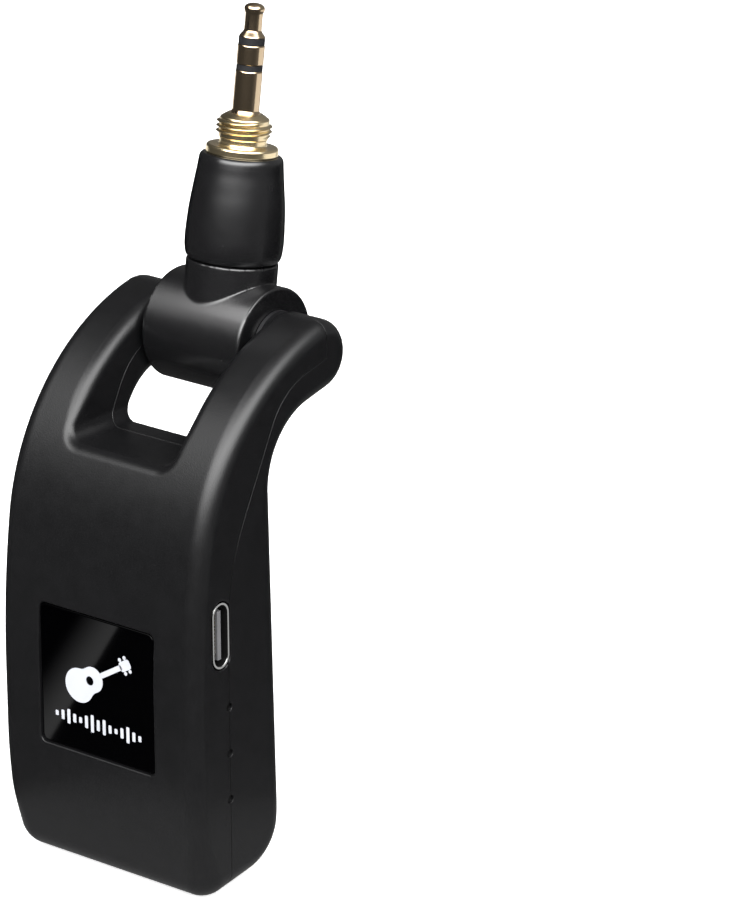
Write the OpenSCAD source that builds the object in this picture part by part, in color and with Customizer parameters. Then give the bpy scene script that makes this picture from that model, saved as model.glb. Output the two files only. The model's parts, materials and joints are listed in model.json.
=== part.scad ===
// Wireless guitar transmitter: curved two-armed housing with a swivelling
// 3.5 mm plug between the arms, a badge, a charging port and a slide switch.
// Millimetres. +Z up, -Y is the badge side, X runs along the hinge.
// Origin: middle of the bounding box in X and Y, lowest point in Z.

/* [Housing] */
// Width of the housing
body_w = 33.2; // [33.0:0.1:33.6]
// Depth of the housing, front plane to rear face, at badge height
body_d = 16.8; // [16.8:0.1:17.2]
// Wall thickness
wall = 1.6; // [1.5:0.05:1.7]
// Radius of the long outer edges
edge_r = 2.2; // [2.0:0.1:2.4]
// Side length of the square badge
badge_w = 19.1; // [18.5:0.1:19.5]

/* [Hinge and plug] */
// Hinge axis behind the front plane
hinge_back = 26.8; // [26.6:0.1:27.0]
// Hinge axis above the lowest point
hinge_z = 67.4; // [67.2:0.1:67.6]
// Radius of the knuckle
knuckle_r = 7.4; // [7.2:0.1:7.5]
// Backward lean of the plug at rest, degrees
lean = 9; // [5:1:12]
// Distance from the hinge axis to the tip of the plug
plug_len = 42.7; // [42.7:0.1:43.5]

/* [Controls] */
// Height of the charging port's centre
port_z = 36.4; // [36.0:0.1:37.0]
// Spacing of the status lights
light_pitch = 6.35; // [6.2:0.05:6.5]
// Travel of the slide switch
switch_travel = 2.2; // [1.8:0.1:2.2]

/* [Hidden] */

$fn = 72;
eps = 0.01;
half_w = body_w / 2;

// Barrel outline as [radius, distance along the plug axis]
barrel_rim = [[6.02, 9.75], [6.15, 9.9], [6.31, 10.7], [6.38, 12], [6.35, 13.4],
    [6.28, 14.8], [6.19, 16.1], [6.06, 17.4], [5.9, 18.7], [5.74, 20],
    [5.58, 21.2], [5.46, 22.4], [5.4, 22.85], [5.2, 23.2], [4.95, 23.3]];
barrel_reach = max([for (p = barrel_rim) p[1] * sin(lean) + p[0] * cos(lean)]);
depth = hinge_back + barrel_reach;
front_y = -depth / 2;
hinge_y = front_y + hinge_back;
hinge = [hinge_y, hinge_z];
hinge_at = [0, hinge_y, hinge_z];
badge_z = 26.7;

// ---- side profile, as [y, z], built from tangent arcs ----
end_r = 4.7;
arm_a = 12;
rear_a = 1.4;
base_a = 8;
hook_r = 9.4;
heel_r = 6.5;
toe_r = 3.6;
low_r = 77;
low_z = badge_z - 8.8;
brow_r = 132;
brow_a = 8.7;
brow_z = badge_z - 0.3;

function ray(a) = [cos(a), sin(a)];
function arc(c, r, a0, a1, n) =
    [for (i = [0:n]) c + r * ray(a0 + (a1 - a0) * i / n)];
// Point where two lines meet, each given by a normal and its offset
function meet(n1, k1, n2, k2) =
    let (det = n1[0] * n2[1] - n1[1] * n2[0])
    [(k1 * n2[1] - k2 * n1[1]) / det, (n1[0] * k2 - n2[0] * k1) / det];

brow_c = [front_y + brow_r, brow_z];
brow_end = brow_c + brow_r * ray(180 - brow_a);
to_hinge = brow_end - hinge;
inward = ray(-brow_a);
crown_r = (end_r * end_r - to_hinge * to_hinge)
    / (2 * (to_hinge * inward) + 2 * end_r);
crown_c = brow_end + crown_r * inward;
crown_a = atan2(hinge[1] - crown_c[1], hinge[0] - crown_c[0]);
arm_n = ray(arm_a - 90);
rear_n = ray(rear_a);
base_n = ray(base_a - 90);
rear_k = rear_n * [front_y + body_d, badge_z];
hook_c = meet(arm_n, arm_n * hinge + end_r + hook_r, rear_n, rear_k + hook_r);
low_c = [front_y + low_r, low_z];
toe_c = [low_c[0] - sqrt(pow(low_r - toe_r, 2) - pow(toe_r - low_z, 2)), toe_r];
toe_a = atan2(toe_c[1] - low_c[1], toe_c[0] - low_c[0]);
heel_c = meet(base_n, base_n * toe_c + toe_r - heel_r, rear_n, rear_k - heel_r);

// Closed side profile moved inward by d
function side_profile(d) = concat(
    arc(low_c, low_r - d, toe_a, -180, 2),
    arc(brow_c, brow_r - d, 180, 180 - brow_a, 2),
    arc(crown_c, crown_r - d, 175 - brow_a, crown_a, 12),
    arc(hinge, end_r - d, crown_a - 13, arm_a - 90, 10),
    arc(hook_c, hook_r + d, arm_a + 90, 180 + rear_a, 8),
    arc(heel_c, heel_r - d, rear_a, base_a - 90, 4),
    arc(toe_c, toe_r - d, base_a - 90, -90, 1),
    arc(toe_c, toe_r - d, -105, toe_a + 12, 3));

// Stations across the width as [x, inset], with rounded outer edges
function stations(half, inset, r, n) = concat(
    [for (i = [0:n]) [-half + r * (1 - cos(90 * i / n)), inset + r * (1 - sin(90 * i / n))]],
    [for (i = [n:-1:0]) [half - r * (1 - cos(90 * i / n)), inset + r * (1 - sin(90 * i / n))]]);

// Side profile swept across the width between rounded edges
module profile_solid(half, inset, r, n) {
    st = stations(half, inset, r, n);
    rows = len(st);
    cols = len(side_profile(0));
    pts = [for (s = st) for (p = side_profile(s[1])) [s[0], p[0], p[1]]];
    skin = [for (i = [0:rows - 2]) for (j = [0:cols - 1])
        let (a = i * cols + j, b = i * cols + (j + 1) % cols)
        each [[a, b, b + cols], [a, b + cols, a + cols]]];
    last = (rows - 1) * cols;
    caps = [for (j = [0:floor(cols / 2) - 2])
        let (k = cols - 1 - j)
        each [[j, k, j + 1], [j + 1, k, k - 1],
            [last + j, last + j + 1, last + k], [last + j + 1, last + k - 1, last + k]]];
    polyhedron(points = pts, faces = concat(skin, caps), convexity = 6);
}

// ---- seam between the two shells, as [y, z] ----
seam_gap = 0.06;
seam_y = front_y + 6.64;
seam_z = 36.7;
seam_a = 28;
seam_r = 30;
seam_bend = 10;
seam_c = [seam_y + seam_r, seam_z];
seam_p = seam_c + seam_r * ray(180 - seam_a);
// Second bend: tangent to the slanted run and to a line through the hinge
slant_n = ray(180 - seam_a);
reach_n = ray(arm_a + 90);
bend_c = meet(slant_n, slant_n * seam_p - seam_bend, reach_n, reach_n * hinge - seam_bend);

// Everything behind the seam, moved back by g
module behind_seam(g) {
    line = concat([[seam_y + g, -5], [seam_y + g, seam_z]],
        arc(seam_c, seam_r - g, 180, 180 - seam_a, 4),
        arc(bend_c, seam_bend - g, 180 - seam_a, arm_a + 90, 6),
        [[hinge_y + g, hinge_z - g], [hinge_y + g, hinge_z + 12]],
        [[hinge_y + 40, hinge_z + 12], [hinge_y + 40, -5]]);
    yz_prism(line, body_w + 2);
}

// Prism along X from a [y, z] outline
module yz_prism(outline, length)
    translate([-length / 2, 0, 0])
        rotate([90, 0, 90]) linear_extrude(length) polygon(outline);

// Cylinder along X between two x values at [y, z]
module x_rod(x0, x1, r, at) {
    translate([min(x0, x1), at[0], at[1]])
        rotate([0, 90, 0]) cylinder(h = abs(x1 - x0), r = r);
}

// Cylinder along Y between two y values at [x, z]
module y_rod(y0, y1, r, at) {
    translate([at[0], y0, at[1]])
        rotate([-90, 0, 0]) cylinder(h = y1 - y0, r = r);
}

// Box by its two corners
module box(a, b) translate(a) cube(b - a);

// ---- window between the arms ----
window_w = 8.6;
window_z = 56.7;
window_r = 2;
module window_cut() {
    translate([0, hinge_y + 20, 0]) rotate([90, 0, 0]) linear_extrude(70) union() {
        translate([-window_w, window_z + window_r])
            square([2 * window_w, 40]);
        translate([-window_w + window_r, window_z])
            square([2 * (window_w - window_r), 10]);
        for (s = [-1, 1])
            translate([s * (window_w - window_r), window_z + window_r])
                circle(window_r);
    }
}

// ---- hinge pieces ----
knuckle_x = 8;
bush_r = 3.6;
bush_bore_end = 15;
shaft_r = 2.2;
run_gap = 0.05;
shaft_x = 13.8;

// ---- board and port ----
board_y = front_y + 6.98;
board_t = 1;
port_y = front_y + 5.3;
port_long = 8.94;
port_short = 3.26;
// Tip of the port's tongue, just behind the metal rim
tongue_tip = half_w - 0.4;
light_y = front_y + 6.64;
light_z = port_z - 10.1;
switch_y = front_y + 4.9;
switch_z = 43.4;
knob_h = 4.4;
badge_y = front_y + 0.35;
badge_t = 0.7;

// Screw positions as [x, z]
screws = [[-12.6, 5.4], [12.6, 5.4], [-12.6, 49.8], [12.6, 49.8]];
function rear_at(z) = (rear_k - rear_n[1] * z) / rear_n[0];
// Screw heads lie at this depth; the lower two are deeper because the heel curves away
function seat_at(z) = rear_at(z) - (z < 10 ? 0.8 : 0);

// Cable channel inside the left arm, from the housing up to the hinge axis
cable_x = -14.45;
cable_low = [cable_x, front_y + 9.6, 53.6];
cable_top = [cable_x, hinge_y, hinge_z];
cable_r = 0.45;
cable_hole_r = 0.7;

// Round-ended bar along X used for the port and its opening
module port_bar(x0, x1, grow) {
    r = port_short / 2 + grow;
    s = port_long / 2 - port_short / 2;
    translate([x0, port_y, port_z]) rotate([90, 0, 90]) linear_extrude(x1 - x0) union() {
        translate([-r, -s]) square([2 * r, 2 * s]);
        for (k = [-1, 1]) translate([0, k * s]) circle(r);
    }
}

// Straight cylinder from point a to point b
module strut(a, b, r) {
    v = b - a;
    len = norm(v);
    translate(a)
        rotate([0, acos(v[2] / len), atan2(v[1], v[0])])
            cylinder(h = len, r = r, $fn = 24);
}

// Bent wire through a list of points, with a small bead at each bend
module wire(pts, r) {
    for (i = [0:len(pts) - 2]) strut(pts[i], pts[i + 1], r);
    for (i = [1:len(pts) - 2]) translate(pts[i]) sphere(1.15 * r, $fn = 24);
}

// Hollow shell of the whole housing, arms left solid
module hollow_housing() {
    difference() {
        profile_solid(half_w, 0, edge_r, 3);
        intersection() {
            profile_solid(half_w - wall, wall, 0.9, 1);
            box([-half_w, -depth, -1], [half_w, depth, window_z - 1.7]);
        }
        window_cut();
    }
}

// Every opening through or into the housing
module openings() {
    badge_pocket();
    port_bar(half_w - 3, half_w + 1, 0.12);
    for (i = [0:2])
        x_rod(half_w - 3, half_w + 1, 0.58, [light_y, light_z - i * light_pitch]);
    switch_opening();
    for (s = [-1, 1])
        x_rod(s * (window_w - 1), s * bush_bore_end, bush_r, hinge);
    strut(cable_low, cable_top, cable_hole_r);
    for (p = screws) screw_hole(p);
}

// Thick pad behind the badge
module badge_seat()
    box([-badge_w / 2 - 1, front_y + 1, badge_z - badge_w / 2 - 1],
        [badge_w / 2 + 1, front_y + 2.5, badge_z + badge_w / 2 + 1]);

module badge_pocket()
    box([-badge_w / 2 - 0.1, front_y - 1, badge_z - badge_w / 2 - 0.1],
        [badge_w / 2 + 0.1, badge_y + badge_t + 0.15, badge_z + badge_w / 2 + 0.1]);

// Posts that carry the board, one set from each shell
module front_posts()
    for (p = screws) y_rod(front_y + (p[1] > 40 ? 3.2 : 1.6), board_y - 0.02, 2.1, p);

module rear_posts()
    for (p = screws) y_rod(board_y + board_t + 0.02, rear_at(p[1]) - 0.6, 2.1, p);

module screw_hole(p) {
    y_rod(front_y + 3.6, rear_at(p[1]) + 1, 0.84, p);
    y_rod(board_y + board_t, rear_at(p[1]) + 1, 1, p);
    y_rod(seat_at(p[1]) - 1.1, rear_at(p[1]) + 1, 1.75, p);
}

// Shallow strip on the left side with the slot for the knob
module switch_opening() {
    box([-half_w - 1, switch_y - 1.8, 15.5], [-half_w + 0.3, switch_y + 1.6, 47.2]);
    box([-half_w - 1, switch_y - 1.25, switch_z - knob_h / 2 - switch_travel - 0.15],
        [-half_w + wall + 1, switch_y + 1.25, switch_z + knob_h / 2 + 0.15]);
}

module front_shell()
    color([0.14, 0.14, 0.15]) resize([0, 0, 0]) difference() {
        $fn = 40;
        union() {
            difference() {
                hollow_housing();
                behind_seam(-seam_gap / 2);
            }
            badge_seat();
            front_posts();
        }
        openings();
    }

module rear_cover()
    color([0.14, 0.14, 0.15]) resize([0, 0, 0]) difference() {
        $fn = 40;
        union() {
            intersection() {
                hollow_housing();
                behind_seam(seam_gap / 2);
            }
            rear_posts();
        }
        openings();
    }

module badge_plate()
    color([0.02, 0.02, 0.025]) difference() {
        box([-badge_w / 2, badge_y, badge_z - badge_w / 2],
            [badge_w / 2, badge_y + badge_t, badge_z + badge_w / 2]);
        for (sx = [-1, 1]) for (sz = [-1, 1])
            translate([sx * badge_w / 2, badge_y - eps, badge_z + sz * badge_w / 2])
                rotate([-90, 0, 0]) corner_cut(1, badge_t + 2 * eps, sx, sz);
    }

// Rounds one corner of a plate; the corner is at the origin
module corner_cut(r, h, sx, sz) {
    difference() {
        translate([sx > 0 ? -r : -1, sz > 0 ? -1 : -r, 0]) cube([r + 1, r + 1, h]);
        translate([-sx * r, sz * r, -1]) cylinder(h = h + 2, r = r);
    }
}

module badge_tape()
    color([0.85, 0.82, 0.7])
        box([-badge_w / 2 + 1.2, badge_y + badge_t, badge_z - badge_w / 2 + 1.2],
            [badge_w / 2 - 1.2, badge_y + badge_t + 0.15, badge_z + badge_w / 2 - 1.2]);

module main_board()
    color([0.03, 0.25, 0.13]) difference() {
        box([-14.4, board_y, 2.8], [14.4, board_y + board_t, 52.6]);
        for (p = screws) y_rod(board_y - 1, board_y + 2, 1.1, p);
    }

// Flat box on the front of the board, by x, z, size and height
module on_board(x, z, w, h, t)
    box([x, board_y - t, z], [x + w, board_y, z + h]);

module board_chips() {
    color([0.06, 0.06, 0.07]) {
        on_board(-9, 33, 6, 6, 0.9);
        on_board(-1, 34, 4, 4, 0.8);
        on_board(-9, 43, 5, 4, 0.9);
        on_board(2, 41.5, 3, 3, 0.8);
    }
}

module board_passives() {
    color([0.62, 0.5, 0.36]) {
        for (i = [0:5]) on_board(-9 + i * 1.9, 30.6, 1, 0.6, 0.5);
        for (i = [0:4]) on_board(5.6, 20 + i * 2, 0.6, 1.1, 0.5);
        for (i = [0:3]) on_board(-2 + i * 1.7, 47.4, 1, 0.6, 0.5);
    }
}

module board_coils()
    color([0.25, 0.25, 0.27]) {
        on_board(6.5, 8.5, 3.2, 3.2, 1.6);
        on_board(5.5, 45.5, 2.6, 2.6, 1.4);
    }

// Folded metal can over the radio
module rf_shield()
    color([0.75, 0.76, 0.78]) difference() {
        on_board(-10, 9, 14, 19, 1.8);
        box([-9.8, board_y - 1.6, 9.2], [3.8, board_y + 1, 27.8]);
    }

module antenna()
    color([0.92, 0.92, 0.88]) on_board(-3.5, 49.6, 7, 2, 0.8);

module port_shell()
    color([0.78, 0.79, 0.8]) difference() {
        port_bar(half_w - 7.4, half_w - 0.08, 0);
        port_bar(half_w - 6.9, half_w + 1, -0.3);
    }

module port_tongue()
    color([0.1, 0.1, 0.11]) {
        port_bar(half_w - 6.9, half_w - 5.6, -0.3);
        box([half_w - 5.6, port_y - 0.34, port_z - 3.3], [tongue_tip, port_y + 0.34, port_z + 3.3]);
    }

// Contact strips on both faces of the tongue
module port_contacts()
    color([0.85, 0.68, 0.3])
        for (i = [0:11]) for (s = [-1, 1])
            box([half_w - 5.5, port_y + (s > 0 ? 0.34 : -0.4), port_z - 2.87 + i * 0.5],
                [tongue_tip - 0.35, port_y + (s > 0 ? 0.4 : -0.34), port_z - 2.63 + i * 0.5]);

module status_leds()
    color([0.9, 0.9, 0.82])
        for (i = [0:2])
            box([12.9, board_y - 0.62, light_z - i * light_pitch - 0.8],
                [14.3, board_y, light_z - i * light_pitch + 0.8]);

module light_guides()
    color([0.92, 0.93, 0.95])
        for (i = [0:2])
            x_rod(14.5, half_w - 0.25, 0.52, [light_y, light_z - i * light_pitch]);

module switch_case()
    color([0.7, 0.71, 0.72]) difference() {
        box([-14.4, board_y - 3, 37.9], [-11.4, board_y, 46.7]);
        box([-15, switch_y - 0.6, switch_z - 1.3 - switch_travel],
            [-12.2, switch_y + 0.6, switch_z + 1.3]);
    }

// Ridged cap on a stem that reaches into the case
module switch_knob()
    color([0.09, 0.09, 0.1]) {
        difference() {
            box([-half_w + 0.1, switch_y - 1.1, switch_z - knob_h / 2],
                [-14.55, switch_y + 1.1, switch_z + knob_h / 2]);
            for (i = [-1:1])
                box([-half_w, switch_y - 2, switch_z - 1.3 + i * 0.7 - 0.15],
                    [-half_w + 0.35, switch_y + 2, switch_z - 1.3 + i * 0.7 + 0.15]);
        }
        box([-14.55, switch_y - 0.5, switch_z - 1.1], [-12.3, switch_y + 0.5, switch_z + 1.1]);
    }

battery_y = board_y + board_t + 1.0;
battery_t = 5.4;
module battery_cell()
    color([0.72, 0.74, 0.78]) {
        box([-11.8, battery_y, 9], [11.8, battery_y + battery_t, 41]);
        box([-10.6, battery_y + 1.8, 41], [10.6, battery_y + 3.2, 43.2]);
    }

module battery_pad()
    color([0.2, 0.2, 0.22])
        box([-9.5, battery_y + battery_t, 13], [9.5, battery_y + battery_t + 0.5, 37]);

// Lead from the cell to the plug on the back of the board, at x
module battery_lead(x)
    wire([[x, battery_y + 2.5, 43.2], [x, battery_y + 2.5, 46],
        [x, board_y + board_t + 1.3, 46.9]], cable_r);

module battery_lead_red()
    color([0.75, 0.06, 0.05]) battery_lead(4.1);

module battery_lead_black()
    color([0.05, 0.05, 0.06]) battery_lead(5.9);

module battery_plug()
    color([0.92, 0.9, 0.84])
        box([3, board_y + board_t, 47.35], [7, board_y + board_t + 2.6, 50.4]);

module signal_plug()
    color([0.92, 0.9, 0.84])
        box([-9.6, board_y + board_t, 47.6], [-5.6, board_y + board_t + 2.4, 50.2]);

// Cable from the board up the left arm to the open end of the shaft
module signal_cable()
    color([0.55, 0.56, 0.6])
        wire([[-7.6, board_y + board_t + 1.2, 50.32], [-7.6, board_y + board_t + 1.6, 52.2],
            cable_low, cable_top], cable_r);

module housing_screws()
    color([0.3, 0.3, 0.32])
        for (p = screws) {
            y_rod(front_y + 3.9, seat_at(p[1]) - 0.9, 0.8, p);
            difference() {
                y_rod(seat_at(p[1]) - 1.1, seat_at(p[1]) - 0.15, 1.65, p);
                for (a = [0, 90])
                    translate([p[0], seat_at(p[1]), p[1]]) rotate([0, a, 0])
                        cube([1.9, 1.1, 0.4], center = true);
            }
        }

// Flanged bushes in the arms; the right one carries the stop lug
stop_r = 3.7;
stop_lug = 12;
back_stop = 121;
fore_stop = 99;
module hinge_bushes()
    color([0.86, 0.86, 0.82]) {
        for (s = [-1, 1]) difference() {
            union() {
                x_rod(s * (knuckle_x + 0.08), s * window_w, 4.5, hinge);
                x_rod(s * window_w, s * 12.2, bush_r - 0.02, hinge);
            }
            x_rod(s * (knuckle_x - 1), s * 13, shaft_r + run_gap, hinge);
        }
        translate(hinge_at) rotate([90, 0, 90])
            rotate([0, 0, -90 - stop_lug])
                rotate_extrude(angle = 2 * stop_lug)
                    translate([stop_r - 0.5, knuckle_x - 0.8]) square([1, 0.88]);
    }

// Hollow shaft with clip grooves and a side hole for the leads
module hinge_shaft()
    color([0.7, 0.71, 0.73]) difference() {
        x_rod(-shaft_x, shaft_x, shaft_r, hinge);
        x_rod(-shaft_x - 1, shaft_x + 1, 1.4, hinge);
        for (s = [-1, 1]) difference() {
            x_rod(s * 12.78, s * 13.32, shaft_r + 1, hinge);
            x_rod(s * 12.5, s * 13.5, 1.85, hinge);
        }
        plug_frame() cylinder(h = 4, r = 1.1);
    }

module spring_washers()
    color([0.62, 0.6, 0.55])
        for (s = [-1, 1]) difference() {
            x_rod(s * 12.24, s * 12.74, 3.3, hinge);
            x_rod(s * 12, s * 13, shaft_r + 0.1, hinge);
        }

module shaft_clips()
    color([0.2, 0.2, 0.22])
        for (s = [-1, 1]) difference() {
            x_rod(s * 12.8, s * 13.3, 3.2, hinge);
            x_rod(s * 12, s * 14, 1.87, hinge);
            box([min(s * 12, s * 14), hinge_y - 1.2, hinge_z - 5],
                [max(s * 12, s * 14), hinge_y + 1.2, hinge_z]);
        }

// Moves a piece from the plug's own frame, Z along the plug, into place
module plug_frame()
    translate(hinge_at) rotate([-lean, 0, 0]) children();

module knuckle()
    color([0.14, 0.14, 0.15]) difference() {
        union() {
            translate(hinge_at) rotate([90, 0, 90]) rotate_extrude()
                polygon([[0, -knuckle_x], [knuckle_r - 0.3, -knuckle_x],
                    [knuckle_r, -knuckle_x + 0.3], [knuckle_r, knuckle_x - 0.3],
                    [knuckle_r - 0.3, knuckle_x], [0, knuckle_x]]);
            plug_frame() rotate_extrude()
                polygon([[0, 0], [5.95, 0], [5.95, 9.35], [5.8, 9.5],
                    [4.6, 9.5], [4.6, 12], [0, 12]]);
        }
        x_rod(-9, 9, shaft_r + 0.01, hinge);
        plug_frame() translate([0, 0, 1]) cylinder(h = 12, r = 2.3);
        translate(hinge_at) rotate([90, 0, 90])
            rotate([0, 0, -90 - fore_stop - stop_lug - 1])
                rotate_extrude(angle = fore_stop + back_stop + 2 * stop_lug + 2)
                    translate([stop_r - 0.6, knuckle_x - 0.95]) square([1.2, 2]);
    }

module barrel_sleeve()
    color([0.13, 0.13, 0.14]) plug_frame() rotate_extrude()
        polygon(concat(barrel_rim, [[2.9, 23.3], [2.9, 21.6], [4.3, 21.6],
            [4.3, 12.1], [4.63, 12.1], [4.63, 9.75]]));

// Moulded core that holds the contacts inside the barrel
module plug_holder()
    color([0.12, 0.12, 0.13]) plug_frame() difference() {
        translate([0, 0, 12.1]) cylinder(h = 9.4, r = 4.27);
        translate([0, 0, 12]) cylinder(h = 6.6, r = 3);
        translate([0, 0, 12]) cylinder(h = 12, r = 1.55);
    }

// Flange, relief groove and thread for a screw-on adapter
module thread_collar() {
    pitch = 0.75;
    crest = 3.62;
    root = 3.22;
    base = 25.55;
    thread = [for (i = [0:2]) each [[root, base + i * pitch],
        [crest, base + i * pitch + 0.25], [crest, base + i * pitch + 0.45],
        [root, base + i * pitch + 0.7]]];
    color([0.85, 0.68, 0.3]) plug_frame() rotate_extrude()
        polygon(concat([[1.52, 21.6], [2.87, 21.6], [2.87, 23.3], [4.5, 23.3],
            [4.66, 23.45], [4.66, 24.15], [4.45, 24.45], [3.3, 24.5], [3.05, 24.6],
            [3.05, 25.4]], thread, [[3.2, 27.9], [2.55, 28.4], [2.2, 28.6], [1.52, 28.6]]));
}

pin_r = 1.75;
// Pin heights along the plug axis
sleeve_z = 28.6;
gap1_z = plug_len - 8.6;
ring_z = plug_len - 7.9;
gap2_z = plug_len - 5.3;
tip_z = plug_len - 4.4;

module sleeve_contact()
    color([0.78, 0.64, 0.34]) plug_frame() rotate_extrude()
        polygon([[1.18, 20.4], [1.5, 20.4], [1.5, sleeve_z], [1.95, sleeve_z],
            [pin_r, sleeve_z + 0.3], [pin_r, gap1_z - 0.12], [pin_r - 0.12, gap1_z],
            [1.18, gap1_z]]);

module lower_insulator()
    color([0.05, 0.05, 0.055]) plug_frame() rotate_extrude()
        polygon([[0.86, 20], [1.15, 20], [1.15, gap1_z], [pin_r, gap1_z],
            [pin_r, ring_z], [0.86, ring_z]]);

module ring_contact()
    color([0.78, 0.64, 0.34]) plug_frame() rotate_extrude()
        polygon([[0.64, 19.4], [0.84, 19.4], [0.84, ring_z], [pin_r - 0.12, ring_z],
            [pin_r, ring_z + 0.12], [pin_r, gap2_z - 0.12], [pin_r - 0.12, gap2_z],
            [0.64, gap2_z]]);

module upper_insulator()
    color([0.05, 0.05, 0.055]) plug_frame() rotate_extrude()
        polygon([[0.42, 18.8], [0.62, 18.8], [0.62, gap2_z], [pin_r, gap2_z],
            [pin_r, tip_z], [0.42, tip_z]]);

// Centre rod, cone, waist and rounded tip
module tip_contact()
    color([0.78, 0.64, 0.34]) plug_frame() rotate_extrude()
        polygon([[0, 18.2], [0.4, 18.2], [0.4, tip_z], [1.68, tip_z], [1.6, tip_z + 0.2],
            [1.2, tip_z + 0.75], [1.15, plug_len - 3], [1.17, plug_len - 1.25],
            [1.32, plug_len - 0.95], [1.34, plug_len - 0.75], [1.24, plug_len - 0.45],
            [0.95, plug_len - 0.2], [0.55, plug_len - 0.05], [0, plug_len]]);

// Cable along the hollow shaft and up the neck, then one lead to each contact
module plug_leads() {
    fork = 12.8;
    lead_r = 0.18;
    color([0.55, 0.56, 0.6]) {
        translate(hinge_at) wire([[-13.7, 0, 0], [0, 0, 0],
            13 * [0, sin(lean), cos(lean)]], cable_r);
        plug_frame() for (lead = [[0, 0, 18.15], [0.2, 0.9, 19.35], [-0.2, -1.35, 20.35]])
            wire([[lead[0], 0, fork], [lead[1], 0, 17], [lead[1], 0, lead[2]]], lead_r);
    }
}

front_shell();
rear_cover();
badge_plate();
badge_tape();
main_board();
board_chips();
board_passives();
board_coils();
rf_shield();
antenna();
port_shell();
port_tongue();
port_contacts();
status_leds();
light_guides();
switch_case();
switch_knob();
battery_cell();
battery_pad();
battery_lead_red();
battery_lead_black();
battery_plug();
signal_plug();
signal_cable();
housing_screws();
hinge_bushes();
hinge_shaft();
spring_washers();
shaft_clips();
knuckle();
barrel_sleeve();
plug_holder();
thread_collar();
sleeve_contact();
ring_contact();
tip_contact();
lower_insulator();
upper_insulator();
plug_leads();
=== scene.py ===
"""Looks of the wireless guitar transmitter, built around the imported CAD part."""
import json
import math

import bpy
import numpy as np
from mathutils import Matrix, Vector


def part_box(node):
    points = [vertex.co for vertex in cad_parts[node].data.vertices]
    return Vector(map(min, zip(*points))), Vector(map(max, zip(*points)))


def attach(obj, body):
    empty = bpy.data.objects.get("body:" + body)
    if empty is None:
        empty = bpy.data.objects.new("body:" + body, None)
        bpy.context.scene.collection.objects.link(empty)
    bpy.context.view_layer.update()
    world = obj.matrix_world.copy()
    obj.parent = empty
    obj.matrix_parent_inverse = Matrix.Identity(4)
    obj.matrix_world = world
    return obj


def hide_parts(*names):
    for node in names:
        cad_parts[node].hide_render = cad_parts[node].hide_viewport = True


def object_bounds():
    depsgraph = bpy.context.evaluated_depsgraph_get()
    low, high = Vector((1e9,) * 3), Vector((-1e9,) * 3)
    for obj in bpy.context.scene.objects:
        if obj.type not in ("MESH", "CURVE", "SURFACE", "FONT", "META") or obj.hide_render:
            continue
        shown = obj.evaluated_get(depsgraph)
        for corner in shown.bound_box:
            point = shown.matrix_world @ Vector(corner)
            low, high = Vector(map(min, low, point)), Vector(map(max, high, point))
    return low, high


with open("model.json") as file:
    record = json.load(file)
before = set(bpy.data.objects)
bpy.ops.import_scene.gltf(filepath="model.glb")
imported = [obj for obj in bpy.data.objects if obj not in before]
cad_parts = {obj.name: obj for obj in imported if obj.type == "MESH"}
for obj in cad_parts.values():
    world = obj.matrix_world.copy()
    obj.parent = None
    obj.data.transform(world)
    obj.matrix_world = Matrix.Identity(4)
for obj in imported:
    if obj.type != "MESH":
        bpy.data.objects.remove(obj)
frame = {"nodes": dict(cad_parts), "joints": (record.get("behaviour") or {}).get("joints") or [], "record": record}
cad_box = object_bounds()

MM = 0.001
nodes = frame["nodes"]
record = frame["record"]


def cad(node):
    """Box of a CAD node in millimetres: (low corner, high corner)."""
    low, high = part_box(node)
    return np.array(low) / MM, np.array(high) / MM


def named(items, name):
    """The item with this name."""
    return [item for item in items if item["name"] == name][0]


# Places and sizes in millimetres, from the frame
hinge_at = named(frame["joints"], "plug_tilt")["pos_m"]
HINGE_Y, HINGE_Z = hinge_at[1] / MM, hinge_at[2] / MM
AXIS = np.array(named(record["mounts"], "plug_pin")["axis"], float)
front_low, front_high = cad("front_shell")
HALF_W = front_high[0]
FRONT_Y = front_low[1]
badge_low, badge_high = cad("badge_plate")
BADGE_Z = (badge_low[2] + badge_high[2]) / 2
BADGE_W = badge_high[0] - badge_low[0]
port_low, port_high = cad("port_shell")
PORT_Y = (port_low[1] + port_high[1]) / 2
PORT_Z = (port_low[2] + port_high[2]) / 2
PORT_LONG = port_high[2] - port_low[2]
PORT_SHORT = port_high[1] - port_low[1]
guide_low, guide_high = cad("light_guides")
LIGHT_Y = (guide_low[1] + guide_high[1]) / 2
LIGHT_R = (guide_high[1] - guide_low[1]) / 2
LIGHT_TOP = guide_high[2] - LIGHT_R
LIGHT_PITCH = (guide_high[2] - guide_low[2] - 2 * LIGHT_R) / 2
knob_low, knob_high = cad("switch_knob")
SWITCH_Y = (knob_low[1] + knob_high[1]) / 2
SWITCH_Z = (knob_low[2] + knob_high[2]) / 2
KNOB_H = knob_high[2] - knob_low[2]
board_low, board_high = cad("main_board")
knuckle_low, knuckle_high = cad("knuckle")
KNUCKLE_R = (knuckle_high[1] - knuckle_low[1]) / 2

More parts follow.
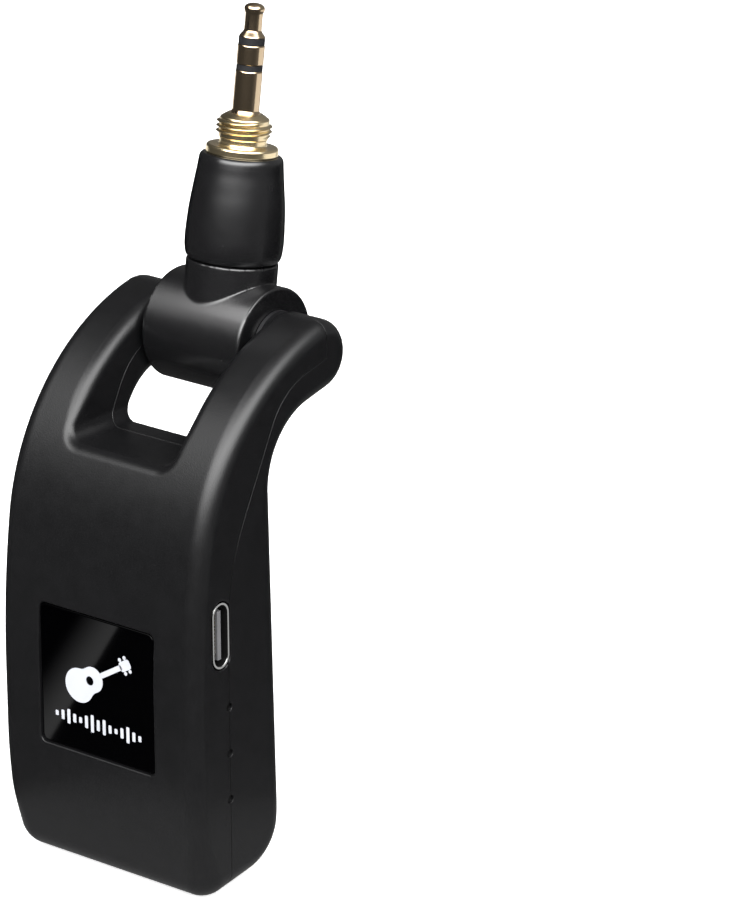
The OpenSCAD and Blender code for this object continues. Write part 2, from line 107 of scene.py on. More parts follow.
# Sizes of the looks in millimetres, where the frame doesn't give them
WALL = 1.6
EDGE_R = 2.2
CORNER_R = 3.7
WINDOW_W = 8.6
WINDOW_Z = 56.7
WINDOW_R = 2.0
FLARE_LOW, FLARE_HIGH = 1.0, 1.7
SEAM_GAP = 0.1
TRAVEL = 2.2
KNUCKLE_X = 8.0
SIDE_CUT = 3.0
STRIP_DEEP = 0.3
BORE_R, BORE_END = 3.6, 15
CABLE_X = -14.45
STRIP_LOW, STRIP_HIGH, STRIP_FRONT, STRIP_BACK = 15.5, 47.2, 1.8, 1.6
SLOT_HALF, SLOT_GAP = 1.25, 0.15
PORT_GAP, LIGHT_GAP = 0.18, 0.06
BEYOND = 9  # cutting blocks start this far outside the housing
SCREW_X, SCREW_LOW_Z, SCREW_HIGH_Z = 12.6, 5.4, 49.8
POST_R, PILOT_R, SHAFT_R, HEAD_R = 2.1, 0.84, 1.0, 1.75
NECK_R, NECK_TOP = 5.95, 9.5
SPIGOT_R, SPIGOT_TOP = 4.6, 12
SHAFT_BORE_R, LEADS_BORE_R = 2.21, 2.3
STOP_R, STOP_HALF, STOP_DEEP = 3.7, 0.6, 0.95

# ---------------------------------------------------------------- side profile


def ray(a):
    """Unit vector at an angle in degrees in the YZ plane."""
    a = math.radians(a)
    return np.array([math.cos(a), math.sin(a)])


def meet(n1, k1, n2, k2):
    """Crossing of the lines n1 . p = k1 and n2 . p = k2."""
    det = n1[0] * n2[1] - n1[1] * n2[0]
    return np.array([(k1 * n2[1] - k2 * n1[1]) / det, (n1[0] * k2 - n2[0] * k1) / det])


# Outline in the YZ plane from the toe up the front, over the arm's end and down the
# back: arcs that run into each other, with angles in degrees
hinge = np.array([HINGE_Y, HINGE_Z])
END_R, ARM_A, REAR_A, BASE_A = 4.7, 12, 1.4, 8
HOOK_R, HEEL_R, TOE_R = 9.4, 6.5, 3.6
LOW_R, LOW_Z = 77.0, BADGE_Z - 8.8
BROW_R, BROW_A, BROW_Z = 132.0, 8.7, BADGE_Z - 0.3
BODY_D = 16.8

brow_c = np.array([FRONT_Y + BROW_R, BROW_Z])
brow_end = brow_c + BROW_R * ray(180 - BROW_A)
to_hinge = brow_end - hinge
inward = ray(-BROW_A)
crown_r = (END_R**2 - to_hinge @ to_hinge) / (2 * (to_hinge @ inward) + 2 * END_R)
crown_c = brow_end + crown_r * inward
crown_a = math.degrees(math.atan2(*(hinge - crown_c)[::-1]))
arm_n, rear_n, base_n = ray(ARM_A - 90), ray(REAR_A), ray(BASE_A - 90)
rear_k = rear_n @ np.array([FRONT_Y + BODY_D, BADGE_Z])
hook_c = meet(arm_n, arm_n @ hinge + END_R + HOOK_R, rear_n, rear_k + HOOK_R)
low_c = np.array([FRONT_Y + LOW_R, LOW_Z])
toe_c = np.array([low_c[0] - math.sqrt((LOW_R - TOE_R) ** 2 - (TOE_R - LOW_Z) ** 2), TOE_R])
toe_a = math.degrees(math.atan2(*(toe_c - low_c)[::-1]))
heel_c = meet(base_n, base_n @ toe_c + TOE_R - HEEL_R, rear_n, rear_k - HEEL_R)


def rear_at(z):
    """Y of the straight rear face at a height."""
    return (rear_k - rear_n[1] * z) / rear_n[0]


def arc_points(c, r, a0, a1, step):
    """Points on an arc, about step degrees apart."""
    n = max(2, int(abs(a1 - a0) / step))
    return [c + r * ray(a0 + (a1 - a0) * i / n) for i in range(n + 1)]


outline = np.array(
    arc_points(low_c, LOW_R, toe_a + 360 if toe_a < 0 else toe_a, 180, 0.2)
    + arc_points(brow_c, BROW_R, 180, 180 - BROW_A, 0.15)
    + arc_points(crown_c, crown_r, 180 - BROW_A, crown_a, 0.5)
    + arc_points(hinge, END_R, crown_a, ARM_A - 90, 4)
    + arc_points(hook_c, HOOK_R, ARM_A + 90, 180 + REAR_A, 2.5)
    + arc_points(heel_c, HEEL_R, REAR_A, BASE_A - 90, 3)
    + arc_points(toe_c, TOE_R, BASE_A - 90, toe_a, 4)
)

# The seam goes straight up, leans back and then follows the arm to the hinge
SEAM_Z, SEAM_A, SEAM_R, SEAM_BEND = 36.7, 28, 30.0, 10.0
seam_c = np.array([LIGHT_Y + SEAM_R, SEAM_Z])
seam_p = seam_c + SEAM_R * ray(180 - SEAM_A)
slant_n, reach_n = ray(180 - SEAM_A), ray(ARM_A + 90)
bend_c = meet(slant_n, slant_n @ seam_p - SEAM_BEND, reach_n, reach_n @ hinge - SEAM_BEND)
UNDER, OVER, FAR_BACK = -9.0, HINGE_Z + 15, HINGE_Y + 60
seam = np.array(
    [[LIGHT_Y, UNDER]]
    + arc_points(seam_c, SEAM_R, 180, 180 - SEAM_A, 1.5)
    + arc_points(bend_c, SEAM_BEND, 180 - SEAM_A, ARM_A + 90, 4)
    + [[HINGE_Y, HINGE_Z], [HINGE_Y, OVER]]
)
behind = np.vstack([seam, [[FAR_BACK, OVER], [FAR_BACK, UNDER]]])


class Plane:
    """Signed distance to an outline in the YZ plane, kept on a fine grid."""

    def __init__(self, line, region, step=0.1):
        self.step = step
        self.y0, self.z0 = FRONT_Y - 4, -4.0
        self.ys = np.arange(self.y0, -self.y0 + 3, step)
        self.zs = np.arange(self.z0, HINGE_Z + 14, step)
        y, z = np.meshgrid(self.ys, self.zs, indexing="ij")
        best = np.full(y.shape, 1e9)
        for a, b in zip(line[:-1], line[1:]):
            d = b - a
            length = d @ d
            if length < 1e-12:
                continue
            t = np.clip(((y - a[0]) * d[0] + (z - a[1]) * d[1]) / length, 0, 1)
            best = np.minimum(best, (y - a[0] - t * d[0]) ** 2 + (z - a[1] - t * d[1]) ** 2)
        inside = np.zeros(y.shape, bool)
        for a, b in zip(region, np.roll(region, -1, axis=0)):
            if a[1] == b[1]:
                continue
            cut = (z >= min(a[1], b[1])) & (z < max(a[1], b[1]))
            inside ^= cut & (y < a[0] + (z - a[1]) * (b[0] - a[0]) / (b[1] - a[1]))
        self.grid = np.where(inside, -1, 1) * np.sqrt(best)

    def __call__(self, y, z):
        u = np.clip((y - self.y0) / self.step, 0, len(self.ys) - 1.001)
        v = np.clip((z - self.z0) / self.step, 0, len(self.zs) - 1.001)
        i, j = u.astype(int), v.astype(int)
        u, v = u - i, v - j
        g = self.grid
        return (g[i, j] * (1 - u) + g[i + 1, j] * u) * (1 - v) + (
            g[i, j + 1] * (1 - u) + g[i + 1, j + 1] * u
        ) * v


profile = Plane(np.vstack([outline, outline[:1]]), outline)
in_front = Plane(seam, behind)

# ---------------------------------------------------------------- solid fields


def meet_round(a, b, r):
    """Both solids, with their shared edge rounded."""
    return np.minimum(np.maximum(a + r, b + r), 0) + np.hypot(
        np.maximum(a + r, 0), np.maximum(b + r, 0)) - r


def join_round(a, b, r):
    """Either solid, with their shared corner filled."""
    return -meet_round(-a, -b, r)


def slab(v, low, high):
    """Between two parallel planes."""
    return np.abs(v - (low + high) / 2) - (high - low) / 2


def block(x, y, z, low, high, r):
    """Box between two corners, with edges of radius r."""
    q = [np.abs(v - (a + b) / 2) - (b - a) / 2 + r for v, a, b in zip((x, y, z), low, high)]
    out = np.sqrt(sum(np.maximum(v, 0) ** 2 for v in q))
    return out + np.minimum(np.maximum(np.maximum(q[0], q[1]), q[2]), 0) - r


def capsule(x, y, z, a, b, r):
    """Round bar from a to b."""
    a, b = np.array(a, float), np.array(b, float)
    d = b - a
    t = np.clip(((x - a[0]) * d[0] + (y - a[1]) * d[1] + (z - a[2]) * d[2]) / (d @ d), 0, 1)
    return np.sqrt((x - a[0] - t * d[0]) ** 2 + (y - a[1] - t * d[1]) ** 2
                   + (z - a[2] - t * d[2]) ** 2) - r


def smooth(t):
    """Smooth step from 0 to 1."""
    t = np.clip(t, 0, 1)
    return t * t * (3 - 2 * t)


def window(x, z):
    """The opening between the arms, with round lower corners."""
    qx, qz = np.abs(x) - WINDOW_W + WINDOW_R, WINDOW_Z + WINDOW_R - z
    corner = np.hypot(np.maximum(qx, 0), np.maximum(qz, 0))
    return corner + np.minimum(np.maximum(qx, qz), 0) - WINDOW_R


def outer(x, y, z):
    """Outside of the housing: rounded side edges, and arms that flare into the window."""
    r = EDGE_R + (CORNER_R - EDGE_R) * smooth(1 - z / 10)
    body = meet_round(profile(y, z), np.abs(x) - HALF_W, r)
    flare = FLARE_LOW + (FLARE_HIGH - FLARE_LOW) * smooth((z - WINDOW_Z - 1) / 5)
    return meet_round(body, -window(x, z), flare)


def screw_post(solid, x, y, z, side, at):
    """Adds one screw's post, with the pilot hole in front and the head's seat behind."""
    screw_x, screw_z = at
    low = screw_z == SCREW_LOW_Z
    d = np.hypot(x - screw_x, z - screw_z)
    if side > 0:
        post = slab(y, FRONT_Y + (1.6 if low else 3.2), board_low[1] - 0.02)
    else:
        post = slab(y, board_high[1] + 0.02, rear_at(screw_z) - 0.6)
    solid = np.minimum(solid, np.maximum(d - POST_R, post))
    solid = np.maximum(solid, -np.maximum(d - PILOT_R, FRONT_Y + 3.6 - y))
    if side < 0:
        depth = 1.9 if low else 1.1
        solid = np.maximum(solid, SHAFT_R - d)
        solid = meet_round(solid, -np.maximum(d - HEAD_R, rear_at(screw_z) - depth - y), 0.15)
    return solid


def badge_square(x, y, z, grow, front, back, r):
    """Square block over the badge's place, wider by grow on each side."""
    half = BADGE_W / 2 + grow
    return block(x, y, z, (-half, front, BADGE_Z - half), (half, back, BADGE_Z + half), r)


def side_openings(solid, x, y, z):
    """Cuts the port, the light holes, and the recess and slot of the switch."""
    reach = np.abs(z - PORT_Z) - (PORT_LONG - PORT_SHORT) / 2
    port = np.hypot(np.maximum(reach, 0), y - PORT_Y) - PORT_SHORT / 2 - PORT_GAP
    solid = meet_round(solid, -np.maximum(port, HALF_W - SIDE_CUT - x), 0.18)
    for i in range(3):
        hole = np.hypot(y - LIGHT_Y, z - LIGHT_TOP + i * LIGHT_PITCH) - LIGHT_R - LIGHT_GAP
        solid = np.maximum(solid, -np.maximum(hole, HALF_W - SIDE_CUT - x))
    strip = block(x, y, z, (-HALF_W - BEYOND, SWITCH_Y - STRIP_FRONT, STRIP_LOW),
                  (-HALF_W + STRIP_DEEP, SWITCH_Y + STRIP_BACK, STRIP_HIGH), 0.25)
    slot_low, slot_high = SWITCH_Z - KNOB_H / 2 - TRAVEL, SWITCH_Z + KNOB_H / 2
    slot = block(x, y, z, (-HALF_W - BEYOND, SWITCH_Y - SLOT_HALF, slot_low - SLOT_GAP),
                 (-HALF_W + WALL + 1, SWITCH_Y + SLOT_HALF, slot_high + SLOT_GAP), 0.2)
    return np.maximum(meet_round(solid, -strip, 0.12), -slot)


def shell(x, y, z, side):
    """One half of the housing: side 1 is in front of the seam, -1 behind it."""
    hollow = np.maximum(meet_round(profile(y, z) + WALL, np.abs(x) - HALF_W + WALL, 0.9),
                        z - WINDOW_Z + 1.7)
    solid = np.maximum(outer(x, y, z), -hollow)
    solid = np.maximum(solid, SEAM_GAP / 2 - side * in_front(y, z))
    if side > 0:
        solid = np.minimum(solid, badge_square(x, y, z, 1, FRONT_Y + 1, FRONT_Y + 2.5, 0.0))
    for screw_z in (SCREW_LOW_Z, SCREW_HIGH_Z):
        for screw_x in (-SCREW_X, SCREW_X):
            solid = screw_post(solid, x, y, z, side, (screw_x, screw_z))
    if side > 0:
        pocket = badge_square(x, y, z, 0.1, FRONT_Y - BEYOND, badge_high[1] + 0.15, 0.9)
        solid = meet_round(solid, -pocket, 0.16)
    solid = side_openings(solid, x, y, z)
    axis = np.hypot(y - HINGE_Y, z - HINGE_Z)
    solid = np.maximum(solid, -np.maximum(axis - BORE_R, slab(np.abs(x), WINDOW_W - 1, BORE_END)))
    channel = capsule(x, y, z, (CABLE_X, FRONT_Y + 9.6, 53.6), (CABLE_X, HINGE_Y, HINGE_Z), 0.7)
    return np.maximum(solid, -channel)


def knuckle(x, y, z):
    """Drum on the hinge axis, with a neck and a spigot along the plug axis."""
    axis = np.hypot(y - HINGE_Y, z - HINGE_Z)
    drum = meet_round(axis - KNUCKLE_R, np.abs(x) - KNUCKLE_X, 0.35)
    along = (y - HINGE_Y) * AXIS[1] + (z - HINGE_Z) * AXIS[2]
    radius = np.hypot(x, (y - HINGE_Y) * AXIS[2] - (z - HINGE_Z) * AXIS[1])
    neck = meet_round(radius - NECK_R, slab(along, -1, NECK_TOP), 0.3)
    spigot = np.maximum(radius - SPIGOT_R, slab(along, 0, SPIGOT_TOP))
    solid = np.minimum(join_round(drum, neck, 0.18), spigot)
    solid = np.maximum(solid, SHAFT_BORE_R - axis)
    solid = np.maximum(solid, -np.maximum(radius - LEADS_BORE_R, 1 - along))
    groove = np.maximum(np.abs(axis - STOP_R) - STOP_HALF, KNUCKLE_X - STOP_DEEP - x)
    return np.maximum(solid, -groove)


# ---------------------------------------------------------------- field to mesh


def lines(low, high, step, fine=()):
    """Grid lines from low to high; fine is a list of (centre, half width, step)."""
    out, v = [low], low
    while v < high:
        h = step
        for c, half, s in fine:
            if abs(v - c) < half:
                h = min(h, s)
            elif v < c:
                h = min(h, max(s, c - half - v))
        v += h
        out.append(v)
    return np.array(out)


def sampled(field, xs, ys, zs, thick=16):
    """Field values on the grid, a few layers at a time."""
    values = np.empty((len(xs), len(ys), len(zs)))
    y, z = np.meshgrid(ys, zs, indexing="ij")
    for start in range(0, len(xs), thick):
        part = slice(start, start + thick)
        shape = (len(xs[part]),) + y.shape
        x = np.broadcast_to(xs[part][:, None, None], shape)
        values[part] = field(x.ravel(), np.broadcast_to(y, shape).ravel(),
                             np.broadcast_to(z, shape).ravel()).reshape(shape)
    return values


def gradient(field, p, h=0.03):
    """Unit direction in which the field grows."""
    out = np.empty_like(p)
    for k in range(3):
        d = np.zeros(3)
        d[k] = h
        a, b = p + d, p - d
        out[:, k] = field(a[:, 0], a[:, 1], a[:, 2]) - field(b[:, 0], b[:, 1], b[:, 2])
    return out / np.maximum(np.linalg.norm(out, axis=1), 1e-9)[:, None]


def crossing(field, p, q, fp, fq):
    """Where the field is zero between p and q, with its direction there."""
    for _ in range(4):
        t = np.clip(fp / (fp - fq), 0.04, 0.96)
        m = p + t[:, None] * (q - p)
        fm = field(m[:, 0], m[:, 1], m[:, 2])
        near = (fm < 0) == (fp < 0)
        p[near], fp[near] = m[near], fm[near]
        q[~near], fq[~near] = m[~near], fm[~near]
    t = fp / (fp - fq)
    m = p + t[:, None] * (q - p)
    return m, gradient(field, m)


def fitted(points, normals, owner, n, pull=0.03):
    """For each of n cells, the point nearest to the planes at its crossings.

    A weak pull to the mean of the crossings settles it where the planes agree.
    """
    count = np.bincount(owner, minlength=n).astype(float)
    centre = np.stack([np.bincount(owner, points[:, k], n) for k in range(3)], 1) / count[:, None]
    dist = np.sum(normals * (points - centre[owner]), axis=1)
    ata, atb = np.zeros((n, 3, 3)), np.zeros((n, 3))
    for i in range(3):
        atb[:, i] = np.bincount(owner, normals[:, i] * dist, n)
        for j in range(3):
            ata[:, i, j] = np.bincount(owner, normals[:, i] * normals[:, j], n)
    ata += pull * np.eye(3)
    return centre + np.linalg.solve(ata, atb[:, :, None])[:, :, 0]


def contour(field, xs, ys, zs):
    """Vertices and quads of the surface field = 0, with sharp edges kept.

    Each grid edge that the surface crosses gives a quad between the edge's four cells.
    """
    grids = [xs, ys, zs]
    values = sampled(field, xs, ys, zs)
    inside = values < 0
    shape = np.array(values.shape)
    cells = shape - 1
    points, normals, owners, quads = [], [], [], []
    for axis in range(3):
        first = [slice(None)] * 3
        second = [slice(None)] * 3
        first[axis], second[axis] = slice(0, -1), slice(1, None)
        starts_inside = inside[tuple(first)]
        at = np.argwhere(starts_inside != inside[tuple(second)])
        others = [k for k in range(3) if k != axis]
        keep = np.all([(at[:, k] > 0) & (at[:, k] < shape[k] - 1) for k in others], axis=0)
        at = at[keep]
        end = at.copy()
        end[:, axis] += 1
        p = np.stack([grids[k][at[:, k]] for k in range(3)], axis=1)
        q = np.stack([grids[k][end[:, k]] for k in range(3)], axis=1)
        point, normal = crossing(field, p, q, values[tuple(at.T)], values[tuple(end.T)])
        u, v = others if axis != 1 else others[::-1]
        ring = []
        for du, dv in ((1, 1), (0, 1), (0, 0), (1, 0)):
            cell = at.copy()
            cell[:, u] -= du
            cell[:, v] -= dv
            ring.append(np.ravel_multi_index(cell.T, cells))
            points.append(point)
            normals.append(normal)
            owners.append(ring[-1])
        ring = np.stack(ring, axis=1)
        flip = ~starts_inside[tuple(at.T)]
        ring[flip] = ring[flip][:, ::-1]
        quads.append(ring)
    ids, owner = np.unique(np.concatenate(owners), return_inverse=True)
    verts = fitted(np.vstack(points), np.vstack(normals), owner, len(ids))
    where = np.stack(np.unravel_index(ids, cells), axis=1)
    for k in range(3):
        low, high = grids[k][where[:, k]], grids[k][where[:, k] + 1]
        verts[:, k] = np.clip(verts[:, k], low, high)
    return verts, np.searchsorted(ids, np.vstack(quads))


def make(name, verts, faces, look, body, nodes_replaced=(), angle=32):
    """A mesh piece from millimetre vertices, riding on a CAD body."""
    mesh = bpy.data.meshes.new(name)
    verts = np.asarray(verts, float) * MM
    mesh.from_pydata(verts.tolist(), [], [list(face) for face in faces])
    mesh.validate()
    mesh.update()
    mesh.shade_smooth()
    mesh.set_sharp_from_angle(angle=math.radians(angle))
    mesh.materials.append(look)
    piece = bpy.data.objects.new(name, mesh)
    bpy.context.scene.collection.objects.link(piece)
    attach(piece, body)
    if nodes_replaced:
        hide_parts(*nodes_replaced)
    return piece


ON_AXIS = 1e-6


def about_axis(distance, radius, angle):
    """Point at a radius and an angle about the plug axis, at a distance from the hinge."""
    side, up = np.array([1.0, 0, 0]), np.array([0, AXIS[2], -AXIS[1]])
    base = np.array([0, HINGE_Y, HINGE_Z])
    return base + AXIS * distance + radius * (side * math.cos(angle) + up * math.sin(angle))


def lathe(name, loop, look, node, segments=128, angle=32):
    """A closed outline of (radius, distance) points turned about the plug axis.

    Distances are from the hinge axis.
    """
    loop = np.array(loop, float)
    closing = loop[0][0] > ON_AXIS or loop[-1][0] > ON_AXIS
    # Points just inside both ends of a long run keep the shading flat along it
    held = []
    for i, a in enumerate(loop):
        held.append(a)
        run = loop[(i + 1) % len(loop)] - a
        length = math.hypot(*run)
        if length > 0.3 and (closing or i < len(loop) - 1):
            held += [a + run * 0.05 / length, a + run * (1 - 0.05 / length)]
    angles = np.linspace(0, 2 * math.pi, segments, endpoint=False)
    verts, faces, rows = [], [], []
    for r, t in held:
        if r < ON_AXIS:
            rows.append([len(verts)] * segments)
            verts.append(about_axis(t, 0, 0))
        else:
            rows.append(list(range(len(verts), len(verts) + segments)))
            verts += [about_axis(t, r, a) for a in angles]
    closed = rows + [rows[0]] if closing else rows
    for a, b in zip(closed[:-1], closed[1:]):
        for i in range(segments):
            j = (i + 1) % segments
            face = []
            for v in (a[i], b[i], b[j], a[j]):
                if v not in face:
                    face.append(v)
            if len(face) > 2:
                faces.append(face)
    return make(name, verts, faces, look, "plug_arm", node, angle)


def curve_through(points, n):
    """Smooth points through a list of (radius, distance) pairs."""
    p = np.array(points, float)
    d = np.linalg.norm(np.diff(p, axis=0), axis=1)
    s = np.concatenate([[0], np.cumsum(d)])
    t = np.gradient(p, s, axis=0)
    out = []
    for v in np.linspace(0, s[-1], n):
        i = min(np.searchsorted(s, v, "right") - 1, len(p) - 2)
        h = s[i + 1] - s[i]
        u = (v - s[i]) / h
        out.append((2 * u**3 - 3 * u**2 + 1) * p[i] + (u**3 - 2 * u**2 + u) * h * t[i]
                   + (3 * u**2 - 2 * u**3) * p[i + 1] + (u**3 - u**2) * h * t[i + 1])
    return [tuple(v) for v in out]


# ---------------------------------------------------------------- materials


def worn(tree, base, colour, wear):
    """Lightens the base colour along outer edges."""
    new, link = tree.nodes.new, tree.links.new
    ramp = new("ShaderNodeMapRange")
    ramp.inputs["From Min"].default_value = 0.53
    ramp.inputs["From Max"].default_value = 0.62
    link(new("ShaderNodeNewGeometry").outputs["Pointiness"], ramp.inputs["Value"])
    scale = new("ShaderNodeMath")
    scale.operation = "MULTIPLY"
    scale.inputs[1].default_value = wear
    link(ramp.outputs["Result"], scale.inputs[0])
    mix = new("ShaderNodeMix")
    mix.data_type = "RGBA"
    lighter = [min(1, c * (1 + 6 * wear) + 0.05 * wear) for c in colour]
    mix.inputs["B"].default_value = (*lighter, 1)
    link(scale.outputs[0], mix.inputs["Factor"])
    link(base, mix.inputs["A"])
    return mix.outputs["Result"]


def material(name, colour, rough=0.5, metal=0.0, grain=900.0, bump=0.05, vary=0.06,
             rough_vary=0.08, coat=0.0, edge=0.0, stretch=(1, 1, 1), shine=0.5, wear=0.0):
    """Procedural surface: grain, colour and roughness variation, rounded-edge shading."""
    m = bpy.data.materials.new(name)
    m.use_nodes = True
    tree = m.node_tree
    tree.nodes.clear()
    new, link = tree.nodes.new, tree.links.new
    out, bsdf = new("ShaderNodeOutputMaterial"), new("ShaderNodeBsdfPrincipled")
    link(bsdf.outputs["BSDF"], out.inputs["Surface"])
    coord, mapping = new("ShaderNodeTexCoord"), new("ShaderNodeMapping")
    mapping.inputs["Scale"].default_value = stretch
    link(coord.outputs["Object"], mapping.inputs["Vector"])
    fine, broad = new("ShaderNodeTexNoise"), new("ShaderNodeTexNoise")
    fine.inputs["Scale"].default_value = grain
    fine.inputs["Detail"].default_value = 4
    broad.inputs["Scale"].default_value = grain / 12
    broad.inputs["Detail"].default_value = 3
    for n in (fine, broad):
        link(mapping.outputs["Vector"], n.inputs["Vector"])
    tint = new("ShaderNodeValToRGB")
    dark = [c * (1 - vary) for c in colour]
    light = [min(1, c * (1 + vary)) for c in colour]
    tint.color_ramp.elements[0].position, tint.color_ramp.elements[1].position = 0.35, 0.65
    tint.color_ramp.elements[0].color = (*dark, 1)
    tint.color_ramp.elements[1].color = (*light, 1)
    link(broad.outputs["Fac"], tint.inputs["Fac"])
    span = new("ShaderNodeMapRange")
    span.inputs["To Min"].default_value = max(0.02, rough - rough_vary)
    span.inputs["To Max"].default_value = min(1, rough + rough_vary)
    link(broad.outputs["Fac"], span.inputs["Value"])
    link(span.outputs["Result"], bsdf.inputs["Roughness"])
    bump_node = new("ShaderNodeBump")
    bump_node.inputs["Strength"].default_value = bump
    bump_node.inputs["Distance"].default_value = 0.00012
    link(fine.outputs["Fac"], bump_node.inputs["Height"])
    if edge > 0:
        bevel = new("ShaderNodeBevel")
        bevel.samples = 4
        bevel.inputs["Radius"].default_value = edge * MM
        link(bevel.outputs["Normal"], bump_node.inputs["Normal"])
    link(bump_node.outputs["Normal"], bsdf.inputs["Normal"])
    base = tint.outputs["Color"]
    if wear > 0:
        base = worn(tree, base, colour, wear)
    link(base, bsdf.inputs["Base Color"])
    bsdf.inputs["Metallic"].default_value = metal
    bsdf.inputs["Coat Weight"].default_value = coat
    bsdf.inputs["Coat Roughness"].default_value = 0.08
    bsdf.inputs["Specular IOR Level"].default_value = shine
    return m


SHELL = material("shell_plastic", (0.0036, 0.0036, 0.0040), 0.33, grain=5200, bump=0.16,
                 vary=0.06, rough_vary=0.04, edge=0.14, wear=0.12)
ARM_PLASTIC = material("arm_plastic", (0.0036, 0.0036, 0.0040), 0.26, grain=6000, bump=0.06,
                       vary=0.05, rough_vary=0.03, shine=0.85, edge=0.08)
GLOSS = material("badge_gloss", (0.0002, 0.0002, 0.0003), 0.04, grain=300, bump=0.004,
                 vary=0.15, rough_vary=0.02, shine=0.06)
INK = material("print_white", (0.36, 0.37, 0.40), 0.55, grain=2500, bump=0.05, vary=0.04)
GOLD = material("gold_plate", (0.88, 0.73, 0.46), 0.22, 1.0, grain=1500, bump=0.03, vary=0.08,
                rough_vary=0.06)
PIN = material("pin_plate", (0.66, 0.51, 0.34), 0.16, 1.0, grain=1400, bump=0.04, vary=0.12,
               rough_vary=0.08, stretch=(1, 1, 0.15))
NICKEL = material("port_nickel", (0.34, 0.34, 0.335), 0.2, 1.0, grain=1800, bump=0.02, vary=0.05)
# Near-black, non-metal look for the inside of the port: painted shade in place of the metal in shadow
PORT_PAINTED_SHADE = material("port_painted_shade", (0.004, 0.004, 0.004), 0.6, grain=1800, bump=0.02, vary=0.05,
                       shine=0.15)
STEEL = material("steel", (0.55, 0.55, 0.56), 0.32, 1.0, grain=1500, bump=0.05, vary=0.08,
                 stretch=(1, 1, 0.2))
BLACK_STEEL = material("black_steel", (0.03, 0.03, 0.032), 0.38, 0.7, grain=1800, bump=0.06,
                       vary=0.15)
RESIN = material("black_resin", (0.012, 0.012, 0.013), 0.35, grain=2600, bump=0.06, vary=0.12)
CHIP = material("chip_resin", (0.02, 0.02, 0.022), 0.5, grain=3200, bump=0.1, vary=0.15)
MASK = material("solder_mask", (0.02, 0.16, 0.08), 0.3, grain=900, bump=0.03, vary=0.12, coat=0.3)
CERAMIC = material("ceramic_tan", (0.5, 0.4, 0.27), 0.45, grain=2200, bump=0.05, vary=0.1)
FERRITE = material("ferrite", (0.08, 0.08, 0.085), 0.5, grain=2600, bump=0.1, vary=0.12)
WHITE_CERAMIC = material("ceramic_white", (0.8, 0.8, 0.76), 0.4, grain=1800, bump=0.04, vary=0.04)
ACETAL = material("acetal", (0.7, 0.7, 0.66), 0.38, grain=1800, bump=0.05, vary=0.04)
FOIL = material("foil_pouch", (0.62, 0.64, 0.68), 0.3, 1.0, grain=260, bump=0.25, vary=0.06)
FOAM = material("foam", (0.03, 0.03, 0.033), 0.9, grain=1500, bump=0.6, vary=0.2)
TAPE = material("tape_tissue", (0.7, 0.66, 0.52), 0.7, grain=1600, bump=0.2, vary=0.08)
RED_WIRE = material("wire_red", (0.45, 0.02, 0.02), 0.45, grain=1500, bump=0.05, vary=0.08)
GREY_WIRE = material("wire_grey", (0.22, 0.23, 0.25), 0.45, grain=1500, bump=0.05, vary=0.08)
BLACK_WIRE = material("wire_black", (0.02, 0.02, 0.02), 0.45, grain=1500, bump=0.05, vary=0.08)
LAMP = material("lamp_white", (0.8, 0.8, 0.72), 0.35, grain=1500, bump=0.03, vary=0.05)
TONGUE = material("tongue_grey", (0.10, 0.10, 0.105), 0.45, grain=1800, bump=0.04, vary=0.06)
GUIDE = material("light_guide", (0.0015, 0.0015, 0.0016), 0.3, grain=900, bump=0.02, vary=0.1)

looks = {
    "badge_tape": TAPE, "main_board": MASK, "board_chips": CHIP, "board_passives": CERAMIC,
    "board_coils": FERRITE, "rf_shield": STEEL, "antenna": WHITE_CERAMIC,
    "port_contacts": GOLD, "status_leds": LAMP, "light_guides": GUIDE,
    "switch_case": STEEL, "switch_knob": RESIN, "battery_cell": FOIL, "battery_pad": FOAM,
    "battery_lead_red": RED_WIRE, "battery_lead_black": BLACK_WIRE, "battery_plug": ACETAL,
    "signal_plug": ACETAL, "signal_cable": GREY_WIRE, "housing_screws": BLACK_STEEL,
    "hinge_bushes": RESIN, "hinge_shaft": STEEL, "spring_washers": STEEL,
    "shaft_clips": BLACK_STEEL, "plug_holder": RESIN, "plug_leads": GREY_WIRE,
    "port_tongue": TONGUE,
}
for node, look in looks.items():
    obj = nodes[node]
    obj.data.materials.clear()
    obj.data.materials.append(look)
    for polygon in obj.data.polygons:
        polygon.material_index = 0
    obj.data.shade_smooth()
    obj.data.set_sharp_from_angle(angle=math.radians(32))
for node, width in (("switch_knob", 0.14), ("port_tongue", 0.06), ("housing_screws", 0.06)):
    bevel = nodes[node].modifiers.new("edges", "BEVEL")
    bevel.width = width * MM
    bevel.segments = 2
    bevel.limit_method = "ANGLE"
    bevel.angle_limit = math.radians(50)

# ---------------------------------------------------------------- housing

# The grid is finer at the two sides, the badge, the seam, the port and the lights
coarse = 0.36
fine = 0.14
xs = lines(-HALF_W - 0.5, HALF_W + 0.5, coarse,
           [(-HALF_W + 0.2, 0.6, fine), (HALF_W - 0.2, 0.6, fine)])
ys = lines(FRONT_Y - 0.6, HINGE_Y + END_R + 0.8, coarse,
           [(FRONT_Y + 0.35, 0.5, fine), ((PORT_Y + LIGHT_Y) / 2, 2.9, fine)])
zs = lines(-0.6, HINGE_Z + END_R + 0.8, coarse,
           [(LIGHT_TOP - i * LIGHT_PITCH, 0.9, fine) for i in (2, 1, 0)]
           + [(PORT_Z - 3.9, 1.3, fine), (PORT_Z + 3.9, 1.3, fine)])
for name, side, node in (("front_half", 1, "front_shell"), ("rear_half", -1, "rear_cover")):
    verts, faces = contour(lambda x, y, z, s=side: shell(x, y, z, s), xs, ys, zs)
    verts = np.clip(verts, np.array(cad_box[0]) / MM, np.array(cad_box[1]) / MM)
    make(name, verts, faces, SHELL, "housing", (node,))

# ---------------------------------------------------------------- knuckle

